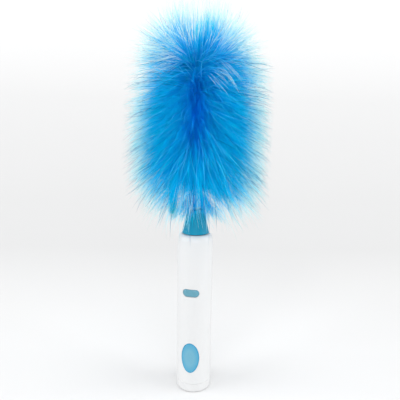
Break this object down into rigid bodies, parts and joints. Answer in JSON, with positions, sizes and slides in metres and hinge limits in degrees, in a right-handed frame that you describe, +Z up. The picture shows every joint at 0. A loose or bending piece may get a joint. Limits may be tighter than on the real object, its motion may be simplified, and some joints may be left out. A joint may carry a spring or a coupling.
{
  "type": "electric spin duster",
  "caption": "Battery duster: a round handle with a push button and a screw-on end cap turns a fluffy fibre head that pulls off its hexagonal drive.",
  "frame": {"origin": "centre of the base, on the surface that the duster stands on", "axes": "+Z up along the handle's axis, -Y towards the power button, +X to the right seen from the button's side"},
  "size_m": [0.162, 0.1602, 0.4551],
  "materials": {
    "shell_white": "moulded, satin gloss",
    "accent_blue": "moulded, soft gloss",
    "collar_teal": "moulded, soft gloss",
    "fibre_blue": "fine fluffy synthetic fibre, blue with pale tips",
    "inner_plastic": "moulded, matt",
    "gear_plastic": "moulded, smooth",
    "steel": "machined, bright",
    "spring_wire": "drawn wire",
    "brass": "pressed or turned, bright",
    "copper": "wound copper",
    "cell_jacket": "plain sleeve",
    "black_plastic": "moulded, matt",
    "board_green": "lacquered board",
    "wire_red": "insulation",
    "wire_black": "insulation"
  },
  "bodies": {
    "root": {"front_shell": "shell_white", "rear_shell": "shell_white", "oval_badge": "accent_blue", "shell_screw_1": "steel", "shell_screw_2": "steel", "shell_screw_3": "steel", "shell_screw_4": "steel", "nose_bush": "brass", "thrust_washer": "brass", "gear_plate_lower": "inner_plastic", "gear_plate_upper": "inner_plastic", "idler_pin": "steel", "motor_can": "steel", "motor_end_bell": "black_plastic", "motor_terminal_1": "brass", "motor_terminal_2": "brass", "motor_screw_1": "steel", "motor_screw_2": "steel", "battery_holder": "inner_plastic", "cell_1": "cell_jacket", "cell_2": "cell_jacket", "cell_3": "cell_jacket", "cell_4": "cell_jacket", "contact_positive": "brass", "contact_negative": "brass", "top_bridge": "brass", "battery_spring_3": "spring_wire", "battery_spring_4": "spring_wire", "switch_body": "black_plastic", "switch_board": "board_green", "wire_positive": "wire_red", "wire_switched": "wire_red", "wire_negative": "wire_black"},
    "button": {"power_button": "accent_blue", "switch_plunger": "inner_plastic"},
    "contacts": {"contact_disc": "inner_plastic", "front_bridge": "brass", "rear_bridge": "brass", "battery_spring_1": "spring_wire", "battery_spring_2": "spring_wire"},
    "cap": {"end_cap": "shell_white"},
    "drive": {"output_shaft": "steel", "output_gear": "gear_plastic", "drive_hex": "steel"},
    "idler": {"idler_gear": "gear_plastic"},
    "rotor": {"motor_shaft": "steel", "motor_pinion": "brass", "motor_armature": "copper"},
    "head": {"head_collar": "collar_teal", "core_rod": "inner_plastic", "rod_tip": "collar_teal", "fibre_ring_1": "fibre_blue", "fibre_ring_2": "fibre_blue", "fibre_ring_3": "fibre_blue", "fibre_ring_4": "fibre_blue", "fibre_ring_5": "fibre_blue", "fibre_ring_6": "fibre_blue", "fibre_ring_7": "fibre_blue", "fibre_ring_8": "fibre_blue"}
  },
  "joints": [
    {"name": "button_press", "type": "slide", "parent": "root", "child": "button", "axis": [0, 1, 0], "range_m": [0, 0.0012], "stiffness_N_per_m": 400},
    {"name": "contact_travel", "type": "slide", "parent": "root", "child": "contacts", "axis": [0, 0, -1], "range_m": [0, 0.008]},
    {"name": "cap_turn", "type": "hinge", "parent": "contacts", "child": "cap", "pos_m": [0, 0, 0], "axis": [0, 0, -1], "range_deg": [0, 90]},
    {"name": "head_spin", "type": "hinge", "parent": "root", "child": "drive", "pos_m": [0, 0, 0.2], "axis": [0, 0, 1], "continuous": true},
    {"name": "idler_spin", "type": "hinge", "parent": "root", "child": "idler", "pos_m": [0, 0.0095, 0.17], "axis": [0, 0, 1], "continuous": true},
    {"name": "rotor_spin", "type": "hinge", "parent": "root", "child": "rotor", "pos_m": [0, 0, 0.15], "axis": [0, 0, 1], "continuous": true},
    {"name": "head_release", "type": "slide", "parent": "drive", "child": "head", "axis": [0, 0, 1], "range_m": [0, 0.03]}
  ],
  "couplings": [
    {"joint": "contact_travel", "follows": "cap_turn", "m_per_rad": 0.005093},
    {"joint": "idler_spin", "follows": "head_spin", "ratio": -2.1667},
    {"joint": "rotor_spin", "follows": "head_spin", "ratio": 6.0667}
  ]
}
